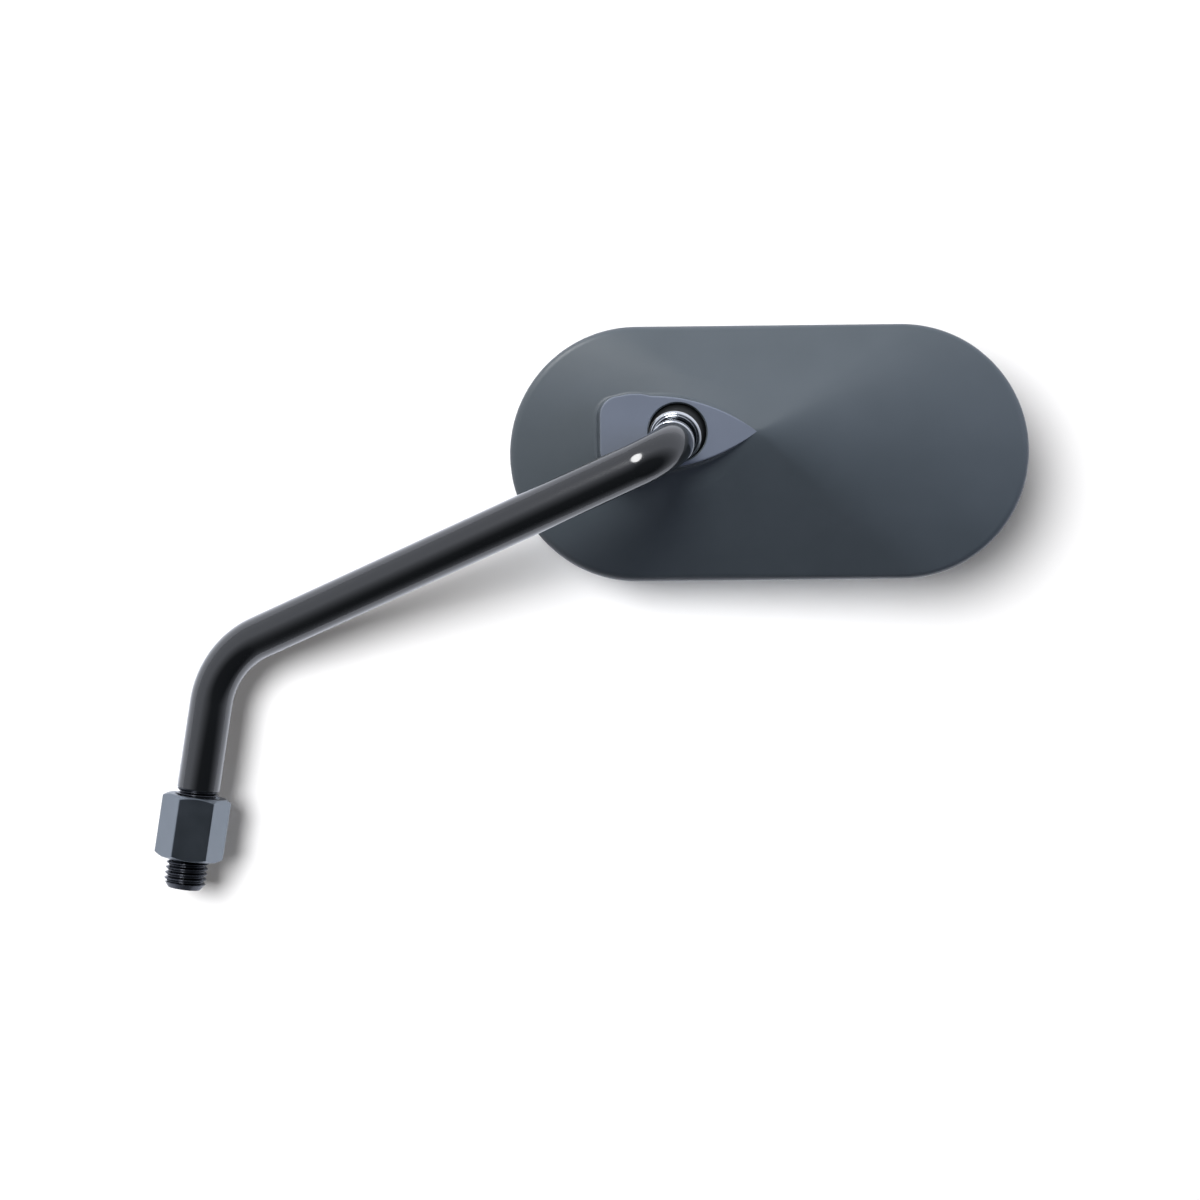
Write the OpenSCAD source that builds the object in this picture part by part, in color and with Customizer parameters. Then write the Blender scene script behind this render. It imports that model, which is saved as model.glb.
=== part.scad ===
// Motorcycle mirror: a stadium-shaped head on a bent round rod with a 10 mm mirror thread.
// Lengths are millimetres and angles are degrees.
// The origin lies on the axis of the stud, in the plane of the lock nut's lower face.
// +Z runs up the stud, +X runs along the head, and the glass faces +Y.

/* [Stem] */
// Diameter of the coated rod
rod_d = 10; // [9:0.1:11.5]
// Diameter over the crests of the thread
thread_d = 9.8; // [9.2:0.1:9.9]
// Thread that stands out below the lock nut
thread_out = 7; // [4:0.5:20]
// Length of the chamfer at the tip of the thread
thread_tip = 1.5; // [0.5:0.1:2.5]
// Thread seen between the lock nut and the rod's shoulder
thread_seen = 1.3; // [0.6:0.1:6]
// Height of the lower corner of the rod's centre line
bend_height = 48.2; // [42:0.1:70]
// Distance between the two corners of the rod's centre line
arm_len = 118.4; // [100:0.1:150]
// Angle of the long stretch above the horizontal
arm_rise = 31.4; // [26:0.1:40]
// Angle by which the long stretch turns away from the glass
arm_out = 15.8; // [14:0.1:24]
// Centre line radius of the lower bend
low_bend_r = 20; // [12:0.5:28]
// Centre line radius of the upper bend
top_bend_r = 8; // [7.5:0.1:12]
// Straight stretch between the upper bend and the rod's end
neck_stub = 0.4; // [0.2:0.1:4]
// Angle of the neck above the horizontal
neck_rise = 15.4; // [10:0.1:18]
// Angle of the neck to the side of the glass's normal
neck_side = 5.3; // [2:0.1:8]

/* [Lock nut] */
// Width across the flats
nut_af = 14; // [13:0.5:17]
// Height of the nut
nut_h = 15; // [8:0.5:20]
// Depth of the chamfer on the corners
nut_chamfer = 0.8; // [0.5:0.1:1.2]
// Turn of the nut about the stud
nut_turn = 8.5; // [0:0.5:60]

/* [Ball joint] */
// Diameter of the ball
ball_d = 15; // [14.6:0.1:17]
// Height of the ball's flat shoulder above its centre
shoulder_h = 4.6; // [4.2:0.1:4.9]
// Radius of the round bead on the shoulder's edge
bead_r = 0.45; // [0.3:0.05:0.6]
// Diameter of the waist between shoulder and collar
waist_d = 7; // [5.5:0.1:7.2]
// Diameter of the collar that seats on the rod's end
collar_d = 10.3; // [9:0.1:10.6]
// Thickness of the collar
collar_t = 2; // [1.5:0.1:2.4]
// Distance from the ball's centre to the rod's end
stud_len = 11.8; // [11.6:0.1:14]
// Diameter of the spigot that is fixed in the rod
spigot_d = 5; // [3.5:0.1:5.4]
// Length of the spigot
spigot_len = 4.5; // [3:0.1:4.8]
// Thickness of the seat ring and of the pressure cup
liner_t = 0.95; // [0.7:0.05:1.3]
// Depth of the seat ring below the ball's centre
ring_low = 1; // [0.2:0.1:1.5]

/* [Clamp] */
// Thickness of the pressed clamp plate
clamp_t = 1.2; // [0.8:0.1:1.4]
// Depth of the clamp plate's flange below the ball's centre
flange_drop = 5.2; // [5:0.1:5.8]
// Gap between the flange and the screw bosses, taken up as the screws are tightened
clamp_gap = 0.3; // [0.1:0.1:0.8]
// Free depth between the clamp plate's dish and the carrier
clamp_room = 1.85; // [1.2:0.05:4]
// Diameter of the circle through the clamp screws
screw_circle = 23; // [22.6:0.1:24]
// Thread diameter of the clamp screws
screw_d = 3; // [2:0.1:3.2]
// Length of the clamp screws under the head
screw_len = 5.1; // [4:0.1:5.8]
// Diameter of the clamp screws' heads
screw_head_d = 5.5; // [4.6:0.1:6]
// Height of the clamp screws' heads
screw_head_h = 1.8; // [1:0.1:2.2]
// Thickness of the spring washers
washer_t = 0.65; // [0.4:0.05:0.9]
// Outer diameter of the spring washers
washer_d = 5.7; // [5:0.1:6]

/* [Housing] */
// Length of the head
head_w = 122.8; // [110:0.1:140]
// Height of the head
head_h = 60.3; // [56:0.1:76]
// Height of the side wall
side_h = 7.5; // [6.8:0.1:9]
// Thickness of the side wall
wall = 2; // [1.5:0.1:3]
// Thickness of the roof under the peak
roof_t = 3; // [2:0.1:4.5]
// Width of the ledge that the carrier seats on
ledge = 2.2; // [1.5:0.1:4]
// Radius of the outer edge
edge_r = 1.2; // [0.4:0.1:2]
// Exponent of the crown: 1 is a straight cone
crown = 1.12; // [1:0.01:1.3]
// Place of the peak along the head, from its middle
peak_u = -3.9; // [-8:0.1:8]
// Place of the peak across the head, from its middle
peak_v = 4; // [0:0.1:5]
// Distance from the peak to the ball's hole
hole_back = 18.3; // [17:0.1:24]
// Diameter of the ball's hole
hole_d = 13.4; // [13:0.1:13.8]
// Thickness of the lip round the ball's hole
lip_t = 1.3; // [0.9:0.1:2]
// Chamfer on the edge of the ball's hole
hole_chamfer = 0.3; // [0.1:0.1:0.5]
// Length of the raised land, from its point at the peak
land_len = 36.2; // [32:0.1:44]
// Width of the raised land
land_w = 17; // [15.6:0.1:20]
// Radius of the land's long curved sides
land_side_r = 39.8; // [34:0.1:44]
// Radius of the land's blunt corners
land_corner_r = 4.5; // [2:0.1:6]
// Bevel on the land's edge
land_bevel = 0.5; // [0.2:0.1:1]
// Spread of the land's wall at its foot
land_spread = 1; // [0.2:0.1:2]
// Turn of the head about the ball
head_turn = 9; // [-10:0.1:15]

/* [Glass] */
// Thickness of the mirror glass
glass_t = 2; // [1.5:0.1:2.4]
// Radius of the convex glass
glass_curve_r = 1200; // [1000:10:1800]
// Depth of the glass's middle below the rim
glass_set = 0.4; // [0.2:0.1:1]
// Thickness of the rubber between glass and wall
gasket_t = 1.15; // [0.8:0.05:2]
// Overlap of the rubber on the glass
gasket_lip = 1.8; // [1:0.1:3]
// Thickness of the adhesive pad at its middle
pad_t = 2.2; // [1.8:0.1:3]
// Gap between the pad and the rubber
pad_margin = 0.3; // [0.1:0.1:3]
// Thickness of the carrier
carrier_t = 1.5; // [1.3:0.1:2]
// Distance of the carrier screws from the head's middle
carrier_screw_u = 45; // [36:0.5:47]
// Thread diameter of the carrier screws
carrier_screw_d = 2.4; // [1.6:0.1:2.6]
// Diameter of the carrier screws' countersunk heads
carrier_head_d = 4.4; // [3.4:0.1:4.8]
// Length of the carrier screws
carrier_screw_len = 4.1; // [3:0.1:4.6]
// Wall of the carrier screws' bosses
carrier_boss_wall = 1.9; // [1.2:0.1:3]

/* [Fits] */
// Radial clearance of the nut's thread
thread_gap = 0.05; // [0.02:0.01:0.1]
// Clearance between the ball, its liners and their seats
ball_gap = 0.05; // [0.02:0.01:0.1]
// Clearance between pieces that are seated on each other
seat_gap = 0.05; // [0.02:0.01:0.15]
// Radial clearance of the screws in the plates
screw_gap = 0.2; // [0.1:0.05:0.3]

/* [Hidden] */
$fn = 72;
// Smallest overlap that lets one cut run past another face
over = 1;
// Angle between the points of a round end, and the lofts' rings as shares of the way from the peak
outline_step = 7.5;
roof_shares = [1, 0.85, 0.7, 0.55, 0.4, 0.28, 0.18, 0.1, 0.05, 0.02];
hollow_shares = [1, 0.7, 0.4, 0.15, 0.03];
// Straight steps in the section of the curved glass
curve_steps = 12;

black_coat = "#4d545b";
gloss_black = "#1b1c1e";
nut_black = "#4a5057";
chrome = "#d9dce0";
nylon = "#202124";
zinc = "#a9adb0";
foam = "#2b2b2d";
mirror_silver = "#c9d3dc";
rubber_black = "#151516";

// Directions and corners of the rod's centre line
function direction(turn, rise) = [cos(rise) * cos(turn), cos(rise) * sin(turn), sin(rise)];
arm_dir = direction(-arm_out, arm_rise);
neck_dir = direction(90 - neck_side, neck_rise);
low_corner = [0, 0, bend_height];
top_corner = low_corner + arm_len * arm_dir;
low_turn = 90 - arm_rise;
top_turn = acos(arm_dir * neck_dir);
low_reach = low_bend_r * tan(low_turn / 2);
top_reach = top_bend_r * tan(top_turn / 2);
rod_end = top_corner + (top_reach + neck_stub) * neck_dir;
ball_pos = rod_end + stud_len * neck_dir;
rod_r = rod_d / 2;
top_side = (neck_dir - (neck_dir * arm_dir) * arm_dir) / sin(top_turn);
// The bends stand proud of the straight stretches by swell, and hide overrun of their ends
swell = 0.02;
overrun = 0.3;

// Thread and nut
pitch_drop = 0.35;
thread_r = thread_d / 2;
core_r = thread_r - pitch_drop;
nut_bore_r = core_r + thread_gap;
shoulder_z = nut_h + thread_seen;
chamfer_angle = 30;

// Spheres of the ball joint, all about the ball's centre
ball_r = ball_d / 2;
liner_in_r = ball_r + ball_gap;
liner_out_r = liner_in_r + liner_t;
seat_r = liner_out_r + ball_gap;
hole_r = hole_d / 2;
lip_low = sqrt(pow(ball_r + ball_gap, 2) - pow(hole_r, 2));
dish_floor = ball_r + 0.7;
bead_at = sqrt(pow(ball_r - bead_r - ball_gap, 2) - pow(shoulder_h, 2));

// Depths in the head, measured from the rim plane towards the back
pad_back = glass_set + glass_t + pad_t;
carrier_front = pad_back + seat_gap;
carrier_back = carrier_front + carrier_t;
ledge_depth = carrier_back + seat_gap;
hollow_low = ledge_depth + 0.5;
ball_depth = carrier_back + clamp_room + dish_floor;
head_depth = ball_depth + lip_low + lip_t;
flange_top = ball_depth - flange_drop;
boss_face = flange_top + clamp_gap;
washer_face = flange_top - clamp_t;
screw_face = washer_face - washer_t;
screw_tip = screw_face + screw_len;

// Places in the head's outline
half_run = (head_w - head_h) / 2;
hole_u = peak_u - hole_back;
hole_v = peak_v;
glass_inset = wall + seat_gap + gasket_t;
lip_inset = glass_inset + gasket_lip;
tower_r = seat_r + 2;
ear_r = washer_d / 2 + 0.15;
screw_boss_r = screw_d / 2 + 1.7;
carrier_boss_r = carrier_screw_d / 2 + carrier_boss_wall;
screw_angles = [60, 180, 300];

// Outline of the land, grown on all sides: two long arcs that meet in a point at the peak, and a
// blunt end with round corners
land_half = land_w / 2;
land_run = sqrt(pow(land_side_r, 2) - pow(land_side_r - land_half, 2));
function land_upper(grow) =
  let (
    r = land_side_r + grow,
    sweep = acos((land_side_r - land_half) / r),
    corner = land_corner_r + grow
  )
    concat(
      [for (i = [0:16]) [r * sin(sweep * (1 - i / 16)), r * cos(sweep * (1 - i / 16))]
        - [land_run, land_side_r - land_half]],
      [for (a = [90:15:180]) [land_corner_r - land_len + corner * cos(a), land_half - land_corner_r
        + corner * sin(a)]]
    );
function land_outline(grow) =
  let (upper = land_upper(grow))
    concat(upper, [for (i = [len(upper) - 1:-1:1]) [upper[i].x, -upper[i].y]]);

// Outline of the head, drawn in by inset, as points that run once round it
function stadium_outline(inset) =
  let (r = head_h / 2 - inset)
    concat(
      [for (a = [-90:outline_step:90]) [half_run + r * cos(a), r * sin(a)]],
      [for (a = [90:outline_step:270]) [-half_run + r * cos(a), r * sin(a)]]
    );

// Lays an outline at a depth, shrunk towards the peak to a share of its size
function ring(outline, depth, share = 1) = [
  for (p = outline)
    [peak_u + share * (p.x - peak_u), peak_v + share * (p.y - peak_v), depth]
];

// Depth of the crowned roof at a share of the way from the peak to its edge
function crowned(low, high, share) = low + (high - low) * (1 - pow(share, crown));

// Stands children, drawn along +Z, at a place and in a direction
module stand(place, dir) {
  translate(place)
    rotate([0, acos(dir.z), atan2(dir.y, dir.x)])
      children();
}

// Stretch of bent rod that leaves start along dir and turns towards side
module bend(start, dir, side, radius, turn) {
  normal = cross(-side, dir);
  centre = start + radius * side;
  multmatrix([
    [-side.x, dir.x, normal.x, centre.x],
    [-side.y, dir.y, normal.y, centre.y],
    [-side.z, dir.z, normal.z, centre.z],
    [0, 0, 0, 1]
  ])
    rotate_extrude(angle = turn)
      translate([radius, 0])
        circle(rod_r + swell);
}

// Moves children from the head's own frame to their place
// There x runs along the head, y across it, and z from the rim plane towards the back
module in_head() {
  translate(ball_pos)
    rotate([0, -head_turn, 0])
      rotate([90, 0, 0])
        translate([-hole_u, -hole_v, -ball_depth])
          children();
}

// Moves children to the centre of the ball in the head's own frame
module at_ball() {
  translate([hole_u, hole_v, ball_depth])
    children();
}

// Moves children to one of the clamp screws' axes
module at_screw(angle) {
  translate([hole_u, hole_v, 0])
    rotate([0, 0, angle])
      translate([screw_circle / 2, 0, 0])
        children();
}

// Outline of the head, drawn in by inset
module stadium(inset) {
  r = head_h / 2 - inset;
  translate([-half_run, -r])
    square([2 * half_run, 2 * r]);
  for (side = [-1, 1])
    translate([side * half_run, 0])
      circle(r);
}

module stadium_slab(inset, low, high) {
  translate([0, 0, low])
    linear_extrude(high - low)
      stadium(inset);
}

// Closed body through rings of as many points, from the lowest ring to the highest
module loft(rings) {
  count = len(rings[0]);
  last = count * (len(rings) - 1);
  polyhedron(
    [for (points = rings) each points],
    concat(
      [[for (i = [0:count - 1]) i]],
      [for (k = [0:len(rings) - 2], i = [0:count - 1])
        let (low = k * count + i, next = k * count + (i + 1) % count)
          [low, low + count, next + count, next]],
      [[for (i = [count - 1:-1:0]) last + i]]
    )
  );
}

// Space between two spheres about the ball's centre, cut by two flat faces
module ball_zone(outer_r, inner_r, low, high) {
  intersection() {
    difference() {
      sphere(outer_r);
      sphere(inner_r);
    }
    translate([0, 0, low])
      cylinder(r = outer_r + over, h = high - low);
  }
}

// Bent rod with its stud
module stem_rod() {
  color(gloss_black)
    difference() {
      union() {
        translate([0, 0, -thread_out])
          cylinder(r1 = thread_r - thread_tip * 0.6, r2 = thread_r, h = thread_tip);
        translate([0, 0, thread_tip - thread_out])
          cylinder(r = thread_r, h = thread_out - thread_tip);
        cylinder(r = core_r, h = nut_h);
        translate([0, 0, nut_h])
          cylinder(r = thread_r, h = thread_seen);
        translate([0, 0, shoulder_z])
          cylinder(r = rod_r, h = bend_height - low_reach - shoulder_z + overrun);
        bend([0, 0, bend_height - low_reach], [0, 0, 1], direction(-arm_out, 0), low_bend_r, low_turn);
        stand(low_corner + (low_reach - overrun) * arm_dir, arm_dir)
          cylinder(r = rod_r, h = arm_len - low_reach - top_reach + 2 * overrun);
        bend(top_corner - top_reach * arm_dir, arm_dir, top_side, top_bend_r, top_turn);
        stand(rod_end - (neck_stub + overrun) * neck_dir, neck_dir)
          cylinder(r = rod_r, h = neck_stub + overrun);
      }
      stand(rod_end, -neck_dir)
        translate([0, 0, -over])
          cylinder(r = spigot_d / 2 + seat_gap, h = spigot_len + seat_gap + over);
    }
}

// Tall hexagon nut, chamfered on both ends
module lock_nut() {
  corner_r = nut_af / sqrt(3);
  end_r = corner_r - nut_chamfer / tan(chamfer_angle);
  wide_r = end_r + nut_h / 2 / tan(chamfer_angle);
  lead = thread_r + 0.2 - nut_bore_r;
  color(nut_black)
    difference() {
      intersection() {
        rotate([0, 0, nut_turn])
          cylinder(r = corner_r, h = nut_h, $fn = 6);
        union() {
          cylinder(r1 = end_r, r2 = wide_r, h = nut_h / 2);
          translate([0, 0, nut_h / 2])
            cylinder(r1 = wide_r, r2 = end_r, h = nut_h / 2);
        }
      }
      translate([0, 0, -over])
        cylinder(r = nut_bore_r, h = nut_h + 2 * over);
      translate([0, 0, -over])
        cylinder(r1 = nut_bore_r + lead + over, r2 = nut_bore_r - over, h = lead + 2 * over);
      translate([0, 0, nut_h - lead - over])
        cylinder(r1 = nut_bore_r - over, r2 = nut_bore_r + lead + over, h = lead + 2 * over);
    }
}

// Turned stud: ball with a flat beaded shoulder, waist, collar and spigot
module ball_stud() {
  waist_r = waist_d / 2;
  collar_r = collar_d / 2;
  collar_low = stud_len - collar_t;
  bevel = 0.4;
  color(chrome)
    stand(ball_pos, -neck_dir) {
      difference() {
        sphere(ball_r);
        translate([0, 0, shoulder_h])
          cylinder(r = ball_r, h = ball_r);
      }
      translate([0, 0, shoulder_h])
        rotate_extrude()
          translate([bead_at, 0])
            circle(bead_r, $fn = 32);
      translate([0, 0, shoulder_h - bead_r])
        cylinder(r1 = waist_r + 1.6, r2 = waist_r, h = 1.6);
      cylinder(r = waist_r, h = collar_low);
      translate([0, 0, collar_low - 1.2])
        cylinder(r1 = waist_r, r2 = waist_r + 1.1, h = 1.2);
      translate([0, 0, collar_low])
        cylinder(r1 = collar_r - bevel, r2 = collar_r, h = bevel);
      translate([0, 0, collar_low + bevel])
        cylinder(r = collar_r, h = collar_t - 2 * bevel);
      translate([0, 0, stud_len - bevel])
        cylinder(r1 = collar_r, r2 = collar_r - bevel, h = bevel);
      cylinder(r = spigot_d / 2, h = stud_len + spigot_len);
    }
}

// Outer skin: straight side wall, rounded edge and a crowned roof that rises to an off-centre peak
module housing_skin() {
  roof = stadium_outline(edge_r);
  loft(concat(
    [ring(stadium_outline(0), 0)],
    [for (a = [0, 30, 60])
      ring(stadium_outline(edge_r * (1 - cos(a))), side_h - edge_r * (1 - sin(a)))],
    [for (share = roof_shares) ring(roof, crowned(side_h, head_depth, share), share)]
  ));
}

// Raised land round the ball's hole, level with the peak
module land_block() {
  translate([peak_u, peak_v, 0])
    loft([
      [for (p = land_outline(land_spread)) [p.x, p.y, side_h]],
      [for (p = land_outline(0)) [p.x, p.y, head_depth - land_bevel]],
      [for (p = land_outline(-land_bevel)) [p.x, p.y, head_depth]]
    ]);
}

// Hollow of the housing, around the tower and the screw bosses that stand in it
module housing_hollow() {
  difference() {
    union() {
      stadium_slab(wall, -over, ledge_depth);
      loft(concat(
        [ring(stadium_outline(wall + ledge), ledge_depth - over)],
        [for (share = hollow_shares)
          ring(stadium_outline(wall + ledge), crowned(hollow_low, head_depth - roof_t, share), share)]
      ));
      for (angle = screw_angles)
        at_screw(angle)
          translate([0, 0, ledge_depth])
            cylinder(r = ear_r + 2 * screw_gap, h = boss_face + clamp_gap - ledge_depth);
    }
    translate([hole_u, hole_v, boss_face])
      cylinder(r = tower_r, h = head_depth);
    for (angle = screw_angles)
      at_screw(angle)
        translate([0, 0, boss_face + seat_gap])
          cylinder(r = screw_boss_r, h = head_depth);
    for (side = [-1, 1])
      translate([side * carrier_screw_u, 0, ledge_depth + seat_gap])
        cylinder(r = carrier_boss_r, h = head_depth);
  }
}

// Cast housing
module housing() {
  color(black_coat)
    in_head()
      difference() {
        union() {
          housing_skin();
          land_block();
        }
        housing_hollow();
        at_ball() {
          intersection() {
            sphere(seat_r);
            translate([0, 0, -over])
              cylinder(r = seat_r + over, h = lip_low + over);
          }
          translate([0, 0, -flange_drop])
            cylinder(r = seat_r + seat_gap, h = flange_drop);
          cylinder(r = hole_r, h = head_depth);
          translate([0, 0, lip_low + lip_t - hole_chamfer - over])
            cylinder(r1 = hole_r - over, r2 = hole_r + hole_chamfer + over, h = hole_chamfer + 2 * over);
        }
        for (angle = screw_angles)
          at_screw(angle)
            translate([0, 0, boss_face - over])
              cylinder(r = screw_d / 2 + seat_gap, h = screw_tip + screw_gap - boss_face + over);
        for (side = [-1, 1])
          translate([side * carrier_screw_u, 0, ledge_depth - over])
            cylinder(
              r = carrier_screw_d / 2 + seat_gap,
              h = carrier_front + carrier_screw_len + screw_gap - ledge_depth + over
            );
      }
}

// Nylon ring that seats the ball against the housing
module seat_ring() {
  color(nylon)
    in_head()
      at_ball()
        ball_zone(liner_out_r, liner_in_r, -ring_low, lip_low - seat_gap);
}

// Nylon cup that presses on the ball from the glass side
module pressure_cup() {
  color(nylon)
    in_head()
      at_ball()
        ball_zone(liner_out_r, liner_in_r, 0.3 - dish_floor, 0.3 - flange_drop);
}

// Pressed plate: dish for the pressure cup, flat flange and three ears
module clamp_plate() {
  color(zinc)
    in_head()
      difference() {
        union() {
          at_ball()
            intersection() {
              sphere(seat_r + clamp_t);
              translate([0, 0, -dish_floor])
                cylinder(r = seat_r + clamp_t, h = dish_floor - flange_drop);
            }
          translate([hole_u, hole_v, washer_face])
            cylinder(r = tower_r - 0.4, h = clamp_t);
          for (angle = screw_angles)
            at_screw(angle)
              translate([0, 0, washer_face]) {
                cylinder(r = ear_r, h = clamp_t);
                translate([-ear_r, -ear_r, 0])
                  cube([ear_r, 2 * ear_r, clamp_t]);
              }
        }
        at_ball()
          sphere(seat_r);
        for (angle = screw_angles)
          at_screw(angle)
            translate([0, 0, washer_face - over])
              cylinder(r = screw_d / 2 + screw_gap, h = clamp_t + 2 * over);
      }
}

// Pan head screw with a cross recess
module clamp_screw(angle) {
  recess = [screw_head_d * 0.55, screw_d * 0.25, screw_head_h * 0.6];
  color(zinc)
    in_head()
      at_screw(angle)
        difference() {
          union() {
            translate([0, 0, screw_face])
              cylinder(r = screw_d / 2, h = screw_len);
            translate([0, 0, screw_face - screw_head_h * 0.6])
              cylinder(r = screw_head_d / 2, h = screw_head_h * 0.6);
            translate([0, 0, screw_face - screw_head_h])
              cylinder(r1 = screw_head_d * 0.36, r2 = screw_head_d / 2, h = screw_head_h * 0.4);
          }
          for (turn = [0, 90])
            rotate([0, 0, turn])
              translate([-recess.x / 2, -recess.y / 2, screw_face - screw_head_h - over])
                cube(recess + [0, 0, over]);
        }
}

// Split spring washer
module spring_washer(angle) {
  color(zinc)
    in_head()
      at_screw(angle)
        translate([0, 0, screw_face + seat_gap / 2])
          difference() {
            cylinder(r = washer_d / 2, h = washer_t - seat_gap);
            translate([0, 0, -over])
              cylinder(r = screw_d / 2 + screw_gap, h = washer_t + 2 * over);
            translate([0, -0.25, -over])
              cube([washer_d, 0.5, washer_t + 2 * over]);
          }
}

// Countersunk depth of the carrier screws' heads
sink_depth = (carrier_head_d - carrier_screw_d) / 2;

// Plastic carrier behind the glass
module carrier() {
  color(nylon)
    in_head()
      difference() {
        stadium_slab(wall + seat_gap, carrier_front, carrier_back);
        for (side = [-1, 1])
          translate([side * carrier_screw_u, 0, carrier_front]) {
            translate([0, 0, -over])
              cylinder(r = carrier_screw_d / 2 + seat_gap, h = carrier_t + 2 * over);
            translate([0, 0, -over])
              cylinder(
                r1 = carrier_head_d / 2 + seat_gap + over,
                r2 = carrier_screw_d / 2 + seat_gap,
                h = sink_depth + over
              );
          }
      }
}

// Countersunk screw that holds one end of the carrier
module carrier_screw(side) {
  color(zinc)
    in_head()
      translate([side * carrier_screw_u, 0, carrier_front]) {
        cylinder(r1 = carrier_head_d / 2, r2 = carrier_screw_d / 2, h = sink_depth);
        cylinder(r = carrier_screw_d / 2, h = carrier_screw_len);
      }
}

// Depth of the sphere that lies drop behind the glass's front, at a distance x from the middle
function curve_depth(x, drop) =
  glass_set + glass_curve_r - sqrt(pow(glass_curve_r - drop, 2) - pow(x, 2));

// Everything behind that sphere, as a body of revolution
module behind_curve(drop) {
  reach = head_w / 2;
  rotate_extrude()
    polygon(concat(
      [for (i = [0:curve_steps]) [reach * i / curve_steps, curve_depth(reach * i / curve_steps, drop)]],
      [[reach, head_depth], [0, head_depth]]
    ));
}

// Convex sheet of the glass's outline, grown on all sides by gap
module glass_sheet(gap) {
  intersection() {
    stadium_slab(glass_inset - gap, glass_set - over, head_depth - over);
    difference() {
      behind_curve(-gap);
      behind_curve(glass_t + gap);
    }
  }
}

// Adhesive foam that follows the back of the glass
module adhesive_pad() {
  color(foam)
    in_head()
      intersection() {
        stadium_slab(lip_inset + pad_margin, glass_set, pad_back);
        behind_curve(glass_t + seat_gap);
      }
}

module mirror_glass() {
  color(mirror_silver)
    in_head()
      glass_sheet(0);
}

// Rubber channel round the edge of the glass
module rubber_rim() {
  color(rubber_black)
    in_head()
      difference() {
        stadium_slab(wall + seat_gap, 0, pad_back);
        stadium_slab(lip_inset, -over, pad_back + over);
        glass_sheet(seat_gap / 2);
      }
}

stem_rod();
lock_nut();
ball_stud();
housing();
seat_ring();
pressure_cup();
clamp_plate();
clamp_screw(screw_angles[0]);  // clamp_screw_1
clamp_screw(screw_angles[1]);  // clamp_screw_2
clamp_screw(screw_angles[2]);  // clamp_screw_3
spring_washer(screw_angles[0]);  // spring_washer_1
spring_washer(screw_angles[1]);  // spring_washer_2
spring_washer(screw_angles[2]);  // spring_washer_3
carrier();
carrier_screw(-1);  // carrier_screw_1
carrier_screw(1);  // carrier_screw_2
adhesive_pad();
mirror_glass();
rubber_rim();
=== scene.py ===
import bpy
import numpy as np
from mathutils import Matrix


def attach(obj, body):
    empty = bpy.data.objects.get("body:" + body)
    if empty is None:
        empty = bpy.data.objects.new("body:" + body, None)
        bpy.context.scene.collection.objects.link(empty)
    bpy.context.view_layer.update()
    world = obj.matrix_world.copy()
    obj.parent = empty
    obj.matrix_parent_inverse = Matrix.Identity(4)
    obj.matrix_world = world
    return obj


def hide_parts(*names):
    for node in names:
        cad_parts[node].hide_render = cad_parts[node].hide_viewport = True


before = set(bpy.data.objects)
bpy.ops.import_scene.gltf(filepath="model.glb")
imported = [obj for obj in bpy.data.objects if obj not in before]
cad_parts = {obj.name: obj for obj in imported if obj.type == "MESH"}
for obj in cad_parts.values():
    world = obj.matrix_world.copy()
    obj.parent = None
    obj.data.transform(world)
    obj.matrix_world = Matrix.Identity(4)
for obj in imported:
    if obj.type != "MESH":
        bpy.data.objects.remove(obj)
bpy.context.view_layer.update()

print("frame loaded:", len(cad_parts), "nodes")

mm = 0.001
stageSetup = {
    "middle": (87.0, 0.0, 74.0),             # mm, the object's middle, at which the lamps aim
    "cameraPlace": (87.05, -592.0, 74.42),   # mm, straight in front of the head's back
    "cameraRoll": 8.4,                       # degrees, so that the stud leans to the right
    "lens": 75.4,
    "tableGap": 21.0,                        # mm from the rim to the white table, beside the ball
    "tableLean": 0.156,                      # more room at the head's long end, which swings back
    "tableReach": 900.0,
    "tableFade": (260.0, 420.0),             # mm from the middle over which the table fades out
    "tableColour": "#f2f2f3",
    "tableGlow": 0.08,                       # for camera and reflections only, lifts it to white
    "skyColour": "#fbf4f0",
    "mirroredSky": "#e6ebf7",                # the same sky in reflections: a little cooler
    "skyStrength": 0.27,
    "darkSide": "#34393e",                   # the unlit room behind the photographer
    "darkFacing": (0.42, -0.73, -0.54),      # the direction in which that room lies
    "darkSpread": (0.30, 0.85),              # cosines to it between which the sky turns dark
}


def unit(vector):
    # a vector divided by its length
    return vector / np.linalg.norm(vector, axis=-1, keepdims=True)


def direction(turn, rise):
    # (cos rise cos turn, cos rise sin turn, sin rise)
    turn, rise = np.radians(turn), np.radians(rise)
    return np.array([np.cos(rise) * np.cos(turn), np.cos(rise) * np.sin(turn), np.sin(rise)])


def turned(vector, axis, angles):
    # v cos a + (k x v) sin a + k (k.v) (1 - cos a)
    a = np.asarray(angles)[:, None]
    return (vector * np.cos(a) + np.cross(axis, vector) * np.sin(a)
            + axis * np.dot(axis, vector) * (1 - np.cos(a)))


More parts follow.
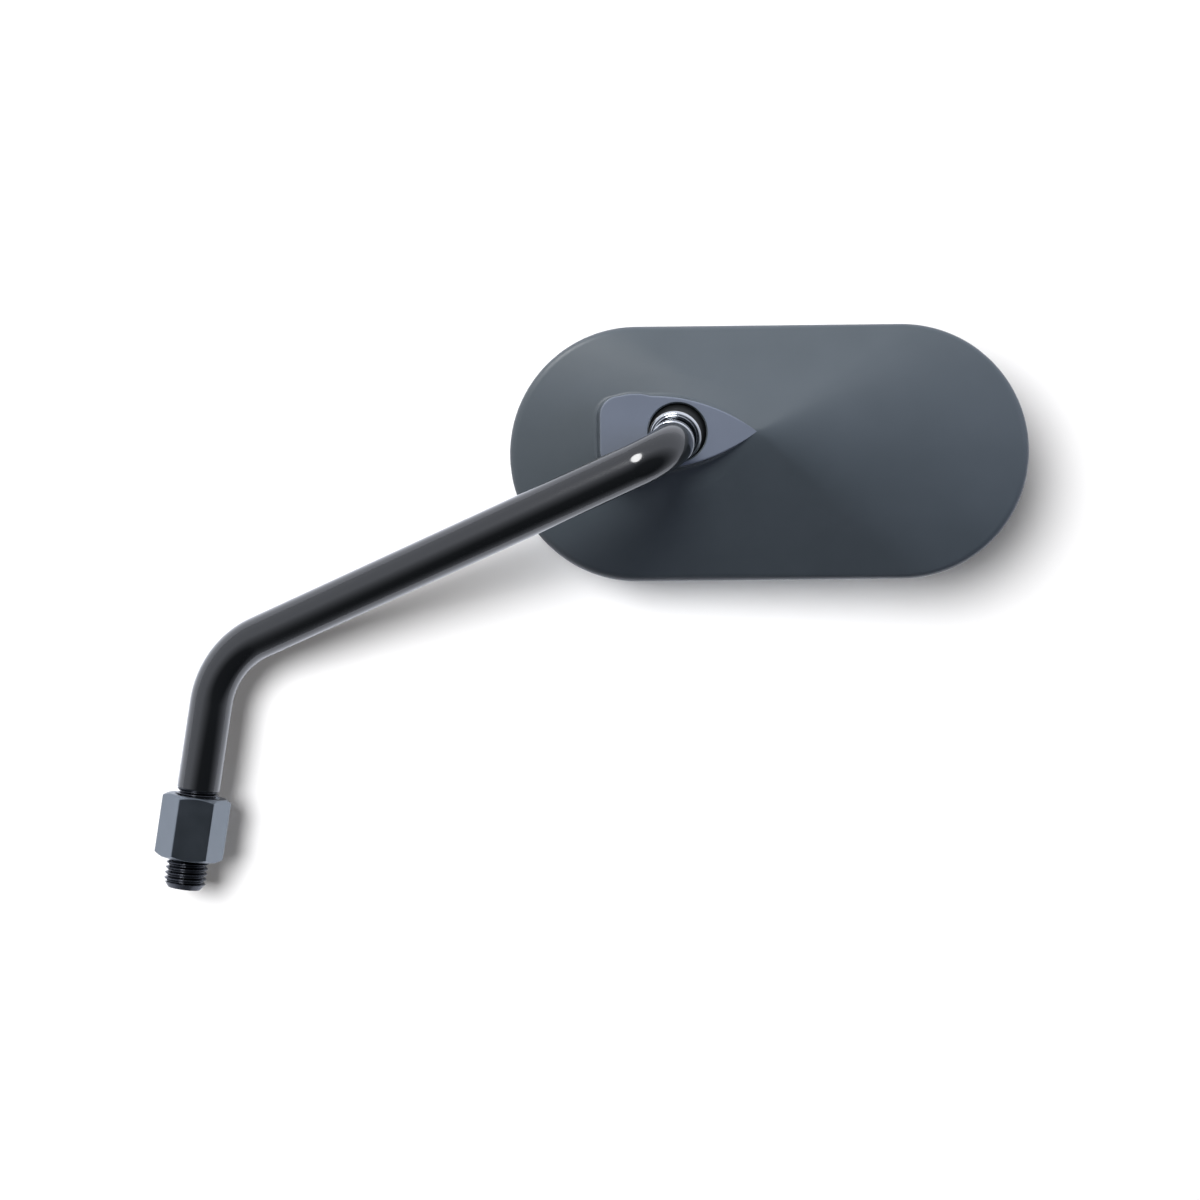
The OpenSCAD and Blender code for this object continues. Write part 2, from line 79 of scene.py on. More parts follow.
def ringBody(name, rings, closed, sharp=None):
    # rings[i, j] is point j of ring i; rings close on themselves, and the body closes
    # from the last ring to the first, or with a fan over each end
    rows, columns = rings.shape[:2]
    points = rings.reshape(-1, 3)
    i, j = np.meshgrid(np.arange(rows if closed else rows - 1), np.arange(columns), indexing="ij")
    nextI, nextJ = (i + 1) % rows, (j + 1) % columns
    quads = np.stack([i * columns + j, i * columns + nextJ, nextI * columns + nextJ,
                      nextI * columns + j], axis=-1).reshape(-1, 4)
    a, b, c, d = (points[quads[:, k]] for k in range(4))
    volume = np.sum(np.cross(b - a, c - a) * a + np.cross(c - a, d - a) * a)
    faces = quads.tolist()
    if not closed:
        ring = np.arange(columns)
        first = np.stack([np.full(columns, len(points)), (ring + 1) % columns, ring], axis=-1)
        last = np.stack([np.full(columns, len(points) + 1), (rows - 1) * columns + ring,
                         (rows - 1) * columns + (ring + 1) % columns], axis=-1)
        points = np.vstack([points, rings[0].mean(0), rings[-1].mean(0)])
        faces += first.tolist() + last.tolist()
    if volume < 0:
        faces = [face[::-1] for face in faces]
    mesh = bpy.data.meshes.new(name)
    mesh.from_pydata((points * mm).tolist(), [], faces)
    mesh.shade_smooth()
    if sharp:
        mesh.set_sharp_from_angle(angle=np.radians(sharp))
    mesh.validate()
    piece = bpy.data.objects.new(name, mesh)
    bpy.context.scene.collection.objects.link(piece)
    return piece


def easedRows(rows, reaches, closed, steps=5):
    # each corner row P is replaced by the curve (1-t)^2 A + 2t(1-t) P + t^2 B, where A and B lie
    # reach before and after it, with one more row a little beyond each, so that the shading stays
    # in the corner; a row with reach 0 stays as it is
    made = []
    count = len(rows)
    longest, beyond = 0.44, 1.12      # of the way to the next row, and of the reach
    t = np.linspace(0, 1, steps)[:, None, None]
    for k, reach in enumerate(reaches):
        here = rows[k]
        if not reach or (not closed and k in (0, count - 1)):
            made.append(here[None])
            continue
        toBefore, toAfter = rows[k - 1] - here, rows[(k + 1) % count] - here
        before = np.linalg.norm(toBefore, axis=-1, keepdims=True)
        after = np.linalg.norm(toAfter, axis=-1, keepdims=True)
        size = np.minimum(reach, longest * np.minimum(before, after))
        a = toBefore / np.maximum(before, 1e-9) * size
        b = toAfter / np.maximum(after, 1e-9) * size
        made += [(here + beyond * a)[None], here + (1 - t) ** 2 * a + t ** 2 * b,
                 (here + beyond * b)[None]]
    return np.concatenate(made)


def revolved(profile, count, place, axis, side):
    # place + z axis + r (cos a side + sin a (axis x side)) for each (r, z) of the profile
    a = np.linspace(0, 2 * np.pi, count, endpoint=False)
    around = np.cos(a)[:, None] * side + np.sin(a)[:, None] * np.cross(axis, side)
    return place + profile[:, 1, None, None] * axis + profile[:, 0, None, None] * around


def arc(centre, radius, start, end, count):
    # (centre r + radius cos a, centre z + radius sin a)
    a = np.radians(np.linspace(start, end, count))
    return np.stack([centre[0] + radius * np.cos(a), centre[1] + radius * np.sin(a)], axis=-1)


def starRadius(outline, angles):
    # distance from the origin to an outline along each angle
    theta = np.arctan2(outline[:, 1], outline[:, 0])
    order = np.argsort(theta)
    return np.interp(angles, theta[order], np.hypot(outline[order, 0], outline[order, 1]),
                     period=2 * np.pi)


def linear(code):
    # sRGB c to linear: c / 12.92 below 0.04045, ((c + 0.055) / 1.055)^2.4 above it
    c = np.array([int(code[k:k + 2], 16) for k in (1, 3, 5)]) / 255
    c = np.where(c <= 0.04045, c / 12.92, ((c + 0.055) / 1.055) ** 2.4)
    return (*c.tolist(), 1.0)


def addNode(tree, kind, settings={}, links={}):
    # settings are socket values or the node's own options, links are {socket: (node, output)}
    node = tree.nodes.new(kind)
    for name, value in settings.items():
        if isinstance(name, int) or name in node.inputs:
            node.inputs[name].default_value = value
        else:
            setattr(node, name, value)
    for name, (source, output) in links.items():
        tree.links.new(source.outputs[output], node.inputs[name])
    return node


def newMaterial(name):
    material = bpy.data.materials.new(name)
    material.use_nodes = True
    material.node_tree.nodes.clear()
    return material, material.node_tree


def coatedMaterial(name, low, high, patch, roughness, spread, grain, depth, shader):
    # colour drifts from low to high over patches, roughness drifts by spread, and the surface is
    # grainy; patch, grain and depth are millimetres, and the noise mostly stays from 0.3 to 0.7
    material, tree = newMaterial(name)
    place = addNode(tree, "ShaderNodeTexCoord")
    drift = addNode(tree, "ShaderNodeTexNoise",
                    {"Scale": 1 / (patch * mm), "Detail": 4.0, "Roughness": 0.55},
                    {"Vector": (place, "Object")})
    mix = addNode(tree, "ShaderNodeMix", {"data_type": "RGBA", 6: linear(low), 7: linear(high)},
                  {0: (drift, "Fac")})
    gloss = addNode(tree, "ShaderNodeMapRange",
                    {"From Min": 0.3, "From Max": 0.7,
                     "To Min": roughness - spread, "To Max": roughness + spread},
                    {0: (drift, "Fac")})
    fine = addNode(tree, "ShaderNodeTexNoise",
                   {"Scale": 1 / (grain * mm), "Detail": 3.0, "Roughness": 0.5},
                   {"Vector": (place, "Object")})
    bump = addNode(tree, "ShaderNodeBump", {"Strength": 1.0, "Distance": depth * mm},
                   {"Height": (fine, "Fac")})
    skin = addNode(tree, "ShaderNodeBsdfPrincipled", shader,
                   {"Base Color": (mix, 2), "Roughness": (gloss, 0), "Normal": (bump, "Normal")})
    addNode(tree, "ShaderNodeOutputMaterial", {}, {"Surface": (skin, 0)})
    return material


# satin polyester powder coat on die-cast aluminium: dark blue grey, a wide soft sheen, very fine
# orange peel
powderCoat = coatedMaterial("satinPowderCoat", "#3f464c", "#474e55", 14, 0.40, 0.03, 0.9, 0.006,
                            {})
# the same coat on the flat land, painted paler: a painted sheen for the light its flat top catches,
# which sets the land off from the roof
paintedSheenCoat = coatedMaterial("paintedSheenPowderCoat", "#5d6472", "#666d7b", 14, 0.36, 0.03, 0.9, 0.004,
                            {})
# stoved gloss enamel on steel rod: deep black with clear reflections, long shallow waves
glossEnamel = coatedMaterial("glossBlackEnamel", "#0b0c0d", "#101113", 20, 0.13, 0.02, 5.0, 0.010,
                             {"Coat Weight": 1.0, "Coat Roughness": 0.10})
# black nickel on a steel nut: a dark bluish metal, semi gloss, with the fine texture of the
# cold-drawn bar
nutCoat = coatedMaterial("blackNickel", "#757c82", "#83898f", 6, 0.33, 0.03, 1.2, 0.006,
                         {"Metallic": 1.0})
# black oxide on a rolled thread: dark, oily and less glossy than the nut
threadOxide = coatedMaterial("blackOxideThread", "#414348", "#525459", 3, 0.22, 0.04, 0.5, 0.004,
                             {"Metallic": 1.0})
# black moulded nylon: waxy, slightly mottled
nylonBlack = coatedMaterial("mouldedNylon", "#18191b", "#202124", 8, 0.46, 0.05, 0.8, 0.008, {})
# bright zinc plate on pressed and turned steel: pale bluish metal, faintly cloudy
zincPlate = coatedMaterial("brightZincPlate", "#a4a9ad", "#b7bcc0", 4, 0.30, 0.06, 0.7, 0.004,
                           {"Metallic": 1.0})
# black ABS carrier: fine spark-eroded mould texture
carrierPlastic = coatedMaterial("mouldedAbs", "#16171a", "#1d1f22", 10, 0.52, 0.04, 0.6, 0.012,
                                {})
# closed-cell acrylic foam tape: dull grey with open cells on its cut edge
foamTape = coatedMaterial("acrylicFoam", "#262628", "#303033", 3, 0.88, 0.04, 0.5, 0.05, {})
# EPDM rubber channel: dull black with a slight bloom
epdmRubber = coatedMaterial("epdmRubber", "#121213", "#1a1a1b", 12, 0.56, 0.06, 0.9, 0.012, {})
# silvered convex glass, coated on its back: near perfect reflection with a slight blue tint
silvered = coatedMaterial("silveredGlass", "#d3dce2", "#d8e0e5", 60, 0.012, 0.004, 40.0, 0.0,
                          {"Metallic": 1.0})


def turnedChrome(place, turnDegrees, feed, ringDepth, smudgeSize, shoulder, shadeRadius):
    # bright chrome on turned steel: near white mirror with the fine rings of the lathe tool, whose
    # feed of 0.1 mm is drawn coarser so that it shows; nearer the axis than the given radius the
    # plate is painted darker: painted shade in the waist
    material, tree = newMaterial("turnedChrome")
    coords = addNode(tree, "ShaderNodeTexCoord")
    along = addNode(tree, "ShaderNodeMapping",
                    {"vector_type": "TEXTURE", "Location": [v * mm for v in place],
                     "Rotation": np.radians(turnDegrees).tolist()}, {"Vector": (coords, "Object")})
    parts = addNode(tree, "ShaderNodeSeparateXYZ", {}, {0: (along, 0)})
    rings = addNode(tree, "ShaderNodeTexNoise",
                    {"noise_dimensions": "1D", "Scale": 1 / (feed * mm), "Detail": 2.0},
                    {"W": (parts, "Z")})
    smudge = addNode(tree, "ShaderNodeTexNoise", {"Scale": 1 / (smudgeSize * mm), "Detail": 3.0},
                     {"Vector": (coords, "Object")})
    gloss = addNode(tree, "ShaderNodeMapRange", {"To Min": 0.05, "To Max": 0.11},
                    {0: (smudge, "Fac")})
    bump = addNode(tree, "ShaderNodeBump", {"Strength": 0.6, "Distance": ringDepth * mm},
                   {"Height": (rings, "Fac")})
    # below its shoulder the ball is painted near black and matt: painted shade in the hole's gap
    # round it
    bright = addNode(tree, "ShaderNodeMapRange",
                     {"From Min": (-shoulder - 0.05) * mm, "To Min": 1.0,
                      "From Max": (-shoulder + 0.05) * mm, "To Max": 0.0}, {0: (parts, "Z")})
    flat = addNode(tree, "ShaderNodeCombineXYZ", {}, {"X": (parts, "X"), "Y": (parts, "Y")})
    reach = addNode(tree, "ShaderNodeVectorMath", {"operation": "LENGTH"}, {0: (flat, 0)})
    # the plate nearer the axis is painted darker: painted shade in the waist and its fillets
    outsideShade = addNode(tree, "ShaderNodeMapRange",
                     {"From Min": (shadeRadius - 0.08) * mm, "From Max": (shadeRadius + 0.08) * mm},
                     {0: (reach, "Value")})
    plate = addNode(tree, "ShaderNodeMix",
                    {"data_type": "RGBA", 6: linear("#5c6066"), 7: linear("#e9ebee")},
                    {0: (outsideShade, 0)})
    colour = addNode(tree, "ShaderNodeMix", {"data_type": "RGBA", 6: linear("#0d0e0f")},
                     {0: (bright, 0), 7: (plate, 2)})
    shadeMatt = addNode(tree, "ShaderNodeMapRange", {"To Min": 0.5, "To Max": 0.0}, {0: (bright, 0)})
    matted = addNode(tree, "ShaderNodeMath", {"operation": "MAXIMUM"},
                     {0: (gloss, 0), 1: (shadeMatt, 0)})
    skin = addNode(tree, "ShaderNodeBsdfPrincipled", {},
                   {"Base Color": (colour, 2), "Metallic": (bright, 0),
                    "Roughness": (matted, 0), "Normal": (bump, "Normal")})
    addNode(tree, "ShaderNodeOutputMaterial", {}, {"Surface": (skin, 0)})
    return material


print("materials made")

stem = {
    "rodRadius": 5.0,
    "shoulder": 16.3,          # height of the rod's lower end
    "bendHeight": 48.2,
    "armLength": 118.4,
    "armTurn": -15.8,
    "armRise": 31.4,
    "lowBend": 20.0,
    "topBend": 8.0,
    "neckStub": 0.4,
    "neckTurn": 84.7,
    "neckRise": 15.4,
    "edge": 0.5,               # rounding of the lower end, and the upper one has endEdge
    "endEdge": 0.3,
    "lowBore": 4.0,            # the lower end is open this far, round the thread
    "bendStep": 1.5,           # degrees of a bend from one ring to the next
    "spigotHole": 2.55,
    "spigotDepth": 4.55,
    "columns": 80,
}
up = np.array([0.0, 0.0, 1.0])
armDir = direction(stem["armTurn"], stem["armRise"])
neckDir = direction(stem["neckTurn"], stem["neckRise"])
lowCorner = np.array([0.0, 0.0, stem["bendHeight"]])
topCorner = lowCorner + stem["armLength"] * armDir


def bentPath(corners, directions, radii, start, tail):
    # straight, arc, straight, arc, straight: on an arc the point is
    # s + R (d sin a + n (1 - cos a)) and the frame turns with it
    points, tangents, sides = [start[None]], [directions[0][None]], []
    side = unit(np.cross(directions[0], directions[1]))
    sides.append(side[None])
    for corner, before, after, radius in zip(corners, directions, directions[1:], radii):
        turn = np.arccos(np.dot(before, after))
        inward = unit(after - np.dot(after, before) * before)
        axis = np.cross(before, inward)
        begin = corner - radius * np.tan(turn / 2) * before
        a = np.linspace(0, turn, 1 + int(np.degrees(turn) / stem["bendStep"]))
        points.append(begin + radius * (np.sin(a)[:, None] * before
                                        + (1 - np.cos(a))[:, None] * inward))
        tangents.append(turned(before, axis, a))
        sides.append(turned(side, axis, a))
        side = sides[-1][-1]
    points.append((points[-1][-1] + tail * directions[-1])[None])
    tangents.append(directions[-1][None])
    sides.append(side[None])
    points, tangents, sides = (np.concatenate(each) for each in (points, tangents, sides))
    along = np.concatenate([[0], np.cumsum(np.linalg.norm(np.diff(points, axis=0), axis=1))])
    return along, points, tangents, sides


def sweptTube(path, profile, count):
    # centre(s) + r (cos a side(s) + sin a (tangent(s) x side(s))) for each (s, r) of the profile
    along, points, tangents, sides = path
    at = lambda table: np.stack([np.interp(profile[:, 0], along, table[:, k])
                                 for k in range(3)], axis=-1)
    centre, tangent = at(points), unit(at(tangents))
    side = at(sides)
    side = unit(side - np.sum(side * tangent, axis=1, keepdims=True) * tangent)
    a = np.linspace(0, 2 * np.pi, count, endpoint=False)[None, :, None]
    around = np.cos(a) * side[:, None] + np.sin(a) * np.cross(tangent, side)[:, None]
    return centre[:, None] + profile[:, 1, None, None] * around


rodPath = bentPath([lowCorner, topCorner], [up, armDir, neckDir],
                   [stem["lowBend"], stem["topBend"]],
                   np.array([0.0, 0.0, stem["shoulder"]]), stem["neckStub"])
rodLength = rodPath[0][-1]
rodEnd = rodPath[1][-1]
edge, endEdge = stem["edge"], stem["endEdge"]
straight = rodPath[0][1:-1]
straight = straight[(straight > 2 * edge) & (straight < rodLength - 2 * edge)]
# (distance along the path, radius): lower end, its edge, the length, upper edge, spigot's hole
rodProfile = np.concatenate([
    [[0, stem["lowBore"]]],
    arc((0, 0), edge, -90, 0, 6)[:, ::-1] + [edge, stem["rodRadius"] - edge],
    np.stack([straight, np.full(len(straight), stem["rodRadius"])], axis=-1),
    arc((0, 0), endEdge, 0, 90, 5)[:, ::-1] + [rodLength - endEdge, stem["rodRadius"] - endEdge],
    [[rodLength, stem["spigotHole"]], [rodLength - stem["spigotDepth"], stem["spigotHole"]]],
])
rodSkin = ringBody("rodSkin", sweptTube(rodPath, rodProfile, stem["columns"]), False, 40)
rodSkin.data.materials.append(glossEnamel)
print("rod swept,", round(rodLength, 1), "mm")

thread = {
    "radius": 4.9,
    "pitch": 1.25,
    "low": -7.0,
    "high": 16.7,              # runs a little way into the rod
    "hidden": (0.8, 14.4),     # inside the nut: a few rows are enough
    "depth": 0.54,             # of the vee, in pitches
    "crest": 0.12,             # share of the half pitch that the flat crest takes
    "flank": 0.80,             # and the flank; the rest is the root
    "tipChamfer": 1.5,
    "tipSlope": 0.75,          # of the cone, radius over height
    "tipDish": [[0.6, 0.45], [1.1, 0.0], [3.6, 0.0]],   # (radius, depth) of the end face
    "rowsPerTurn": 26,
    "columns": 96,
}


def threadRings(values):
    # r = radius - depth of a 60 degree vee with a flat crest and a round root, whose phase is
    # z / pitch - a / 2 pi; the tip's cone cuts the crests down
    pitch, flank, (hiddenLow, hiddenHigh) = values["pitch"], values["flank"], values["hidden"]
    step, margin = pitch / values["rowsPerTurn"], 0.2
    z = np.concatenate([np.arange(values["low"], hiddenLow - margin, step),
                        np.linspace(hiddenLow, hiddenHigh, 8),
                        np.arange(hiddenHigh + margin, values["high"], step)])[:, None]
    a = np.linspace(0, 2 * np.pi, values["columns"], endpoint=False)[None]
    phase = (z / pitch - a / (2 * np.pi)) % 1
    vee = np.clip(np.abs(phase - 0.5) * 2 - values["crest"], 0, flank)
    r = values["radius"] - values["depth"] * pitch * vee / flank
    cone = values["tipSlope"] * (values["tipChamfer"] - (z - values["low"]))
    r = np.minimum(r, values["radius"] - cone)
    rings = np.stack([r * np.cos(a), r * np.sin(a), z + 0 * a], axis=-1)
    end = np.array(values["tipDish"])
    a = a[0]
    face = np.stack([end[:, :1] * np.cos(a), end[:, :1] * np.sin(a),
                     values["low"] + end[:, 1:] + 0 * a], axis=-1)
    return np.concatenate([face, rings])


studThread = ringBody("studThread", threadRings(thread), False, 50)
studThread.data.materials.append(threadOxide)
for piece in (rodSkin, studThread):
    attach(piece, "stem")
    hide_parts("stem_rod")
print("thread cut")

nut = {
    "acrossFlats": 14.0,
    "height": 15.0,
    "turn": 8.5,
    "bore": 4.92,
    "lead": 0.45,
    "chamferAngle": 30.0,
    "chamferDepth": 0.8,
    "cornerRound": 0.35,
    "edge": 0.16,
    "columnsPerFlat": 36,
    "crowding": 0.115,         # draws the columns of each flat towards its corners
}


def hexagonRadius(values, angles):
    # flat distance / cos of the angle from the flat's middle, held back near each corner so that
    # the corner is round
    flat = values["acrossFlats"] / 2
    local = (angles + np.pi / 6) % (np.pi / 3) - np.pi / 6
    corner = flat / np.cos(np.pi / 6) - values["cornerRound"] * (1 / np.cos(np.pi / 6) - 1)
    middle = corner - values["cornerRound"]
    off = np.pi / 6 - np.abs(local)
    rounded = middle * np.cos(off) + np.sqrt(
        np.maximum(values["cornerRound"] ** 2 - (middle * np.sin(off)) ** 2, 0))
    fits = values["cornerRound"] > np.abs(middle * np.sin(off)) * 2
    return np.where(fits, np.minimum(flat / np.cos(local), rounded), flat / np.cos(local))


def nutRings(values):
    # bore, lead, end face, 30 degree cone cut by the hexagon, flat, and the same again
    s = np.linspace(0, 1, values["columnsPerFlat"], endpoint=False)
    s = s + values["crowding"] * np.sin(2 * np.pi * s)
    s = (np.arange(6)[:, None] + s).ravel() * np.pi / 3
    outer = hexagonRadius(values, s)
    slope = np.tan(np.radians(values["chamferAngle"]))
    endR = values["acrossFlats"] / 2 / np.cos(np.pi / 6) - values["chamferDepth"] / slope
    low = (outer - endR) * slope
    bore, lead, top = values["bore"], values["lead"], values["height"]
    same = np.ones_like(s)
    profile = [(bore * same, lead * same), ((bore + lead) * same, 0 * same), (endR * same, 0 * same),
               (outer, low), (outer, top - low), (endR * same, top * same),
               ((bore + lead) * same, top * same), (bore * same, (top - lead) * same)]
    a = s + np.radians(values["turn"]) + np.pi / 6
    rows = [np.stack([r * np.cos(a), r * np.sin(a), z], axis=-1) for r, z in profile]
    return easedRows(rows, [values["edge"]] * len(rows), True, 4)


nutBody = ringBody("nutBody", nutRings(nut), True)
nutBody.data.materials.append(nutCoat)
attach(nutBody, "nut")
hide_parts("lock_nut")
print("nut made")

stud = {
    "length": 11.8,            # from the ball's centre to the rod's end
    "ballRadius": 7.5,
    "shoulder": 4.6,
    "bead": 0.32,
    "beadSink": 0.05,          # the outer bead lies this far inside the ball's sphere
    "innerBead": 0.2,
    "waist": 3.5,
    "fillet": 0.6,
    "groove": 0.2,             # radius of the groove inside the beads
    "ballStop": 0.35,          # the ball's sphere ends this far inside the shoulder's height
    "collarRadius": 5.15,
    "collarThickness": 2.0,
    "collarFillet": 1.1,
    "bevel": 0.35,
    "spigotRadius": 2.5,
    "spigotLength": 4.5,
    "spigotBevel": 0.3,
    "columns": 112,
    "feed": 0.28,              # mm from one ring of the lathe tool to the next
    "ringDepth": 0.003,
    "smudge": 5.0,             # mm across the faint smudges
    "paintedShadeBelow": 4.35,       # below this height the ball is painted dark: painted shade in the hole's gap
    "paintedShadeWithin": 4.8,       # inside this radius the plate is painted darker: painted shade in the waist
}
ballCentre = rodEnd + stud["length"] * neckDir


def studProfile(values):
    # (r, z) from the ball's pole to the spigot's end: sphere, two beads, groove, flat shoulder,
    # fillet, waist, fillet, bevelled collar, spigot; z runs towards the rod
    ball, bead, shoulder = values["ballRadius"], values["bead"], values["shoulder"]
    beadAt = np.sqrt((ball - values["beadSink"]) ** 2 - shoulder ** 2) - bead
    innerAt = beadAt - bead - values["innerBead"]
    grooveAt = innerAt - values["innerBead"] - values["groove"]
    stopAt = shoulder - values["ballStop"]
    stop = np.degrees(np.arctan2(stopAt, np.sqrt(ball ** 2 - stopAt ** 2)))
    low = values["length"] - values["collarThickness"]
    waist, fillet, under = values["waist"], values["fillet"], values["collarFillet"]
    bevel, collar = values["bevel"], values["collarRadius"]
    spigot, end = values["spigotRadius"], values["length"] + values["spigotLength"]
    return np.concatenate([
        arc((0, 0), ball, -88, stop, 60),
        arc((beadAt, shoulder), bead, -10, 172, 14),
        arc((innerAt, shoulder), values["innerBead"], 8, 180, 10),
        arc((grooveAt, shoulder), values["groove"], 352, 180, 9),
        arc((waist + fillet, shoulder + fillet), fillet, 270, 180, 10),
        arc((waist + under, low - under), under, 180, 90, 8),
        [[collar - bevel - 0.1, low]],
        arc((collar - bevel, low + bevel), bevel, -90, 0, 6),
        arc((collar - bevel, values["length"] - bevel), bevel, 0, 90, 6),
        [[spigot + 0.02, values["length"]], [spigot, values["length"] + 0.02],
         [spigot, end - values["spigotBevel"]], [spigot - values["spigotBevel"], end]],
    ])


studAxis = -neckDir
studSide = unit(np.cross(studAxis, up))
studRings = revolved(studProfile(stud), stud["columns"], ballCentre, studAxis, studSide)
studBall = ringBody("studBall", studRings, False, 38)
studBall.data.materials.append(turnedChrome(
    ballCentre, (90 - stem["neckRise"], 0, 90 + stem["neckTurn"]), stud["feed"], stud["ringDepth"],
    stud["smudge"], stud["paintedShadeBelow"], stud["paintedShadeWithin"]))
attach(studBall, "stem")
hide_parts("ball_stud")
print("ball stud turned, ball at", np.round(ballCentre, 2))

head = {
    "turn": 9.0,               # of the head about the ball
    "halfRun": 31.25,          # half the straight part of the outline
    "halfHeight": 30.13,
    "sideHeight": 7.5,
    "depth": 20.98,
    "crown": 1.12,
    "apexSoftness": 0.035,
    "peak": (-3.9, 4.0),
    "hole": (-22.2, 4.0),
    "holeRadius": 6.7,
    "holeChamfer": 0.3,
    "lipLow": 19.68,           # depth of the lip's underside
    "ballDepth": 16.2,
    "landHalf": 8.5,
    "landLength": 36.2,
    "landSide": 39.8,
    "landCorner": 4.5,
    "landEdge": 0.5,
    "landFoot": 1.1,           # fillet at the foot of the land
    "landDraft": 0.07,         # how far the land's wall leans out for each mm of its height
    "landTopRows": (20, 28),   # rows of faces that have the paler coat, the painted sheen
    "roofInset": 1.2,          # the crown ends at sideHeight this far inside the outline
    "roofStart": (1.2, 4.6),   # from the land's foot to the first row, where the land is low
                               # and what a tall land adds to that
    "tallLand": 3.0,
    "roofEnd": 4.2,            # from the last row to the outline
    "crowding": 1.15,          # draws the rows of the roof towards the land
    "edge": 1.7,
    "wall": 2.0,
    "rimRound": 0.4,
    "ledge": 2.2,
    "ledgeDepth": 6.2,
    "innerRise": 0.5,          # from the ledge to where the inner crown starts
    "innerRows": (0.0, 0.15, 0.35, 0.55, 0.75, 0.92, 1.0),
    "roofThickness": 3.0,
    "towerRadius": 10.55,
    "towerLow": 11.3,
    "seatRadius": 8.55,
    "columns": 520,
    "bunching": 0.35,          # draws the columns towards the two round ends
    "roofRows": 64,
}


def inFrame(points):
    # from the head's own u, v and depth to the frame: u and v turn about the ball, depth runs to -Y
    a = np.radians(head["turn"])
    u = points[..., 0] - head["hole"][0]
    v = points[..., 1] - head["hole"][1]
    return ballCentre + np.stack([u * np.cos(a) - v * np.sin(a), head["ballDepth"] - points[..., 2],
                                  u * np.sin(a) + v * np.cos(a)], axis=-1)


def stadiumFrame(perEnd, perRun):
    # middle-line points and outward normals that run once round a stadium
    a = np.linspace(-np.pi / 2, np.pi / 2, perEnd, endpoint=False)
    run = np.linspace(-1, 1, perRun, endpoint=False) * head["halfRun"]
    ends = np.full_like(a, head["halfRun"])
    quarter = np.full_like(run, np.pi / 2)
    middle = np.concatenate([ends, -run, -ends, run])
    normal = np.concatenate([a, quarter, a + np.pi, -quarter])
    return (np.stack([middle, 0 * middle], axis=-1),
            np.stack([np.cos(normal), np.sin(normal)], axis=-1))


def stadiumOutline(inset):
    # middle line + (half height - inset) normal
    middle, normal = stadiumFrame(720, 360)
    return middle + (head["halfHeight"] - inset) * normal


def landOutline():
    # measured from the peak: two arcs of the long radius that meet there, and round blunt corners
    half, side = head["landHalf"], head["landSide"]
    corner, length = head["landCorner"], head["landLength"]
    run = np.sqrt(side ** 2 - (side - half) ** 2)
    sweep = np.arccos((side - half) / side)
    a = np.linspace(sweep, 0, 300)
    upper = np.stack([side * np.sin(a) - run, side * np.cos(a) - side + half], axis=-1)
    upper = np.vstack([upper, arc((corner - length, half - corner), corner, 90, 180, 120)])
    down = np.linspace(half - corner, corner - half, 62)[1:-1]
    end = np.stack([np.full(len(down), -length), down], axis=-1)
    return np.vstack([upper, end, (upper * [1, -1])[::-1][:-1]])


def crownDepth(u, v, inset, low, high):
    # share s is the distance from the peak over the outline's distance in that direction; the depth
    # is high - (high - low) ((s^2 + e^2)^(n/2) - e^n) / (1 - e^n)
    peak = np.array(head["peak"])
    du, dv = u - peak[0], v - peak[1]
    reach = starRadius(stadiumOutline(inset) - peak, np.arctan2(dv, du))
    s, n, e = np.hypot(du, dv) / reach, head["crown"], head["apexSoftness"]
    return high - (high - low) * ((s ** 2 + e ** 2) ** (n / 2) - e ** n) / (1 - e ** n)


